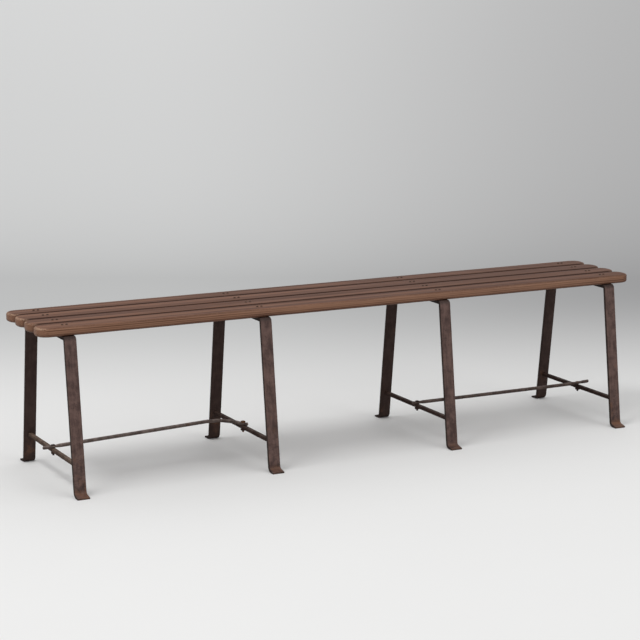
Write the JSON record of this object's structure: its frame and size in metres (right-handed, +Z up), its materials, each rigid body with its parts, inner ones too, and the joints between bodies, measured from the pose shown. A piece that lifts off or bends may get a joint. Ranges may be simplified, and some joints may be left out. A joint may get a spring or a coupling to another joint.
{
  "type": "bench",
  "caption": "Long backless bench with narrow wooden seat slats riveted across bent flat-iron trestles that have splayed legs, turned-out feet, low stretchers and tie rods.",
  "frame": {"origin": "on the floor under the middle of the seat", "axes": "+X along the slats, to the right as seen from the front, +Y to the rear, +Z up"},
  "size_m": [1.874, 0.4644, 0.4523],
  "materials": {
    "slat_wood": "old dark stain, worn on the edges",
    "trestle_iron": "dark brown patina with rust low on the legs",
    "stretcher_iron": "dark brown patina",
    "rod_iron": "grey brown patina",
    "bolt_iron": "rusted",
    "rivet_iron": "blackened"
  },
  "bodies": {
    "root": {"front_slat": "slat_wood", "front_middle_slat": "slat_wood", "rear_middle_slat": "slat_wood", "rear_slat": "slat_wood", "left_end_trestle": "trestle_iron", "left_middle_trestle": "trestle_iron", "right_middle_trestle": "trestle_iron", "right_end_trestle": "trestle_iron", "left_end_stretcher": "stretcher_iron", "left_middle_stretcher": "stretcher_iron", "right_middle_stretcher": "stretcher_iron", "right_end_stretcher": "stretcher_iron", "left_tie_rod": "rod_iron", "right_tie_rod": "rod_iron", "left_end_tie_bolt": "bolt_iron", "left_end_tie_nut": "bolt_iron", "left_middle_tie_bolt": "bolt_iron", "left_middle_tie_nut": "bolt_iron", "right_middle_tie_bolt": "bolt_iron", "right_middle_tie_nut": "bolt_iron", "right_end_tie_bolt": "bolt_iron", "right_end_tie_nut": "bolt_iron", "left_end_front_left_rivet": "rivet_iron", "left_end_front_right_rivet": "rivet_iron", "left_end_front_middle_left_rivet": "rivet_iron", "left_end_front_middle_right_rivet": "rivet_iron", "left_end_rear_middle_left_rivet": "rivet_iron", "left_end_rear_middle_right_rivet": "rivet_iron", "left_end_rear_left_rivet": "rivet_iron", "left_end_rear_right_rivet": "rivet_iron", "left_middle_front_left_rivet": "rivet_iron", "left_middle_front_right_rivet": "rivet_iron", "left_middle_front_middle_left_rivet": "rivet_iron", "left_middle_front_middle_right_rivet": "rivet_iron", "left_middle_rear_middle_left_rivet": "rivet_iron", "left_middle_rear_middle_right_rivet": "rivet_iron", "left_middle_rear_left_rivet": "rivet_iron", "left_middle_rear_right_rivet": "rivet_iron", "right_middle_front_left_rivet": "rivet_iron", "right_middle_front_right_rivet": "rivet_iron", "right_middle_front_middle_left_rivet": "rivet_iron", "right_middle_front_middle_right_rivet": "rivet_iron", "right_middle_rear_middle_left_rivet": "rivet_iron", "right_middle_rear_middle_right_rivet": "rivet_iron", "right_middle_rear_left_rivet": "rivet_iron", "right_middle_rear_right_rivet": "rivet_iron", "right_end_front_left_rivet": "rivet_iron", "right_end_front_right_rivet": "rivet_iron", "right_end_front_middle_left_rivet": "rivet_iron", "right_end_front_middle_right_rivet": "rivet_iron", "right_end_rear_middle_left_rivet": "rivet_iron", "right_end_rear_middle_right_rivet": "rivet_iron", "right_end_rear_left_rivet": "rivet_iron", "right_end_rear_right_rivet": "rivet_iron"}
  },
  "joints": []
}
